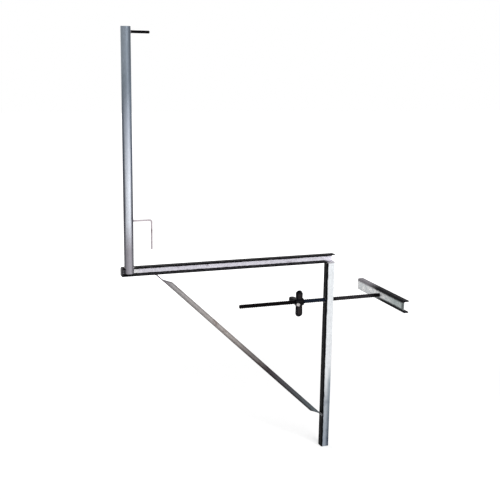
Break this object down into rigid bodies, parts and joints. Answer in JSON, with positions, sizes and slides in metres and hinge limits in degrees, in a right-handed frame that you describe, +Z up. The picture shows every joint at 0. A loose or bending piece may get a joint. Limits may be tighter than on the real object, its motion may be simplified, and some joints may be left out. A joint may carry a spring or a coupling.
{
  "type": "scaffold bracket",
  "caption": "Wall-clamped scaffold bracket: channel deck beam on a square leg, tube brace and guard post, held by a threaded tie rod with clamp channel and wing nut.",
  "frame": {"origin": "on the tie rod's axis where it leaves the wall face of the leg", "axes": "+X into the wall along the tie rod, +Y to the back of the bracket, +Z up along the leg and the post"},
  "size_m": [1.336, 0.47, 2.02],
  "materials": {
    "beam_zinc": "galvanised channel, pale lavender grey with darkened flanges",
    "leg_zinc": "galvanised square tube, pale grey with darkened sides",
    "post_zinc": "galvanised round tube, satin blue grey",
    "brace_steel": "worn brown grey steel",
    "hook_zinc": "plain pale grey rod",
    "clamp_zinc": "mottled galvanised channel",
    "black_rod": "oiled black steel",
    "dark_steel": "dark worn steel",
    "cast_nut": "black cast iron, sand-cast texture"
  },
  "bodies": {
    "bracket": {"deck_beam": "beam_zinc", "beam_end_plate": "dark_steel", "leg": "leg_zinc", "rod_sleeve": "dark_steel", "brace": "brace_steel", "guard_post": "post_zinc", "guard_rail_pin": "black_rod", "toe_board_hook": "hook_zinc"},
    "tie": {"tie_rod": "black_rod", "clamp_channel": "clamp_zinc", "clamp_washer": "dark_steel", "clamp_nut": "black_rod"},
    "nut": {"wing_nut": "cast_nut"}
  },
  "joints": [
    {"name": "tie_rod_slide", "type": "slide", "parent": "bracket", "child": "tie", "axis": [1, 0, 0], "range_m": [-0.16, 0.112]},
    {"name": "wing_nut_turn", "type": "hinge", "parent": "tie", "child": "nut", "pos_m": [-0.174, 0, 0], "axis": [1, 0, 0], "continuous": true}
  ]
}
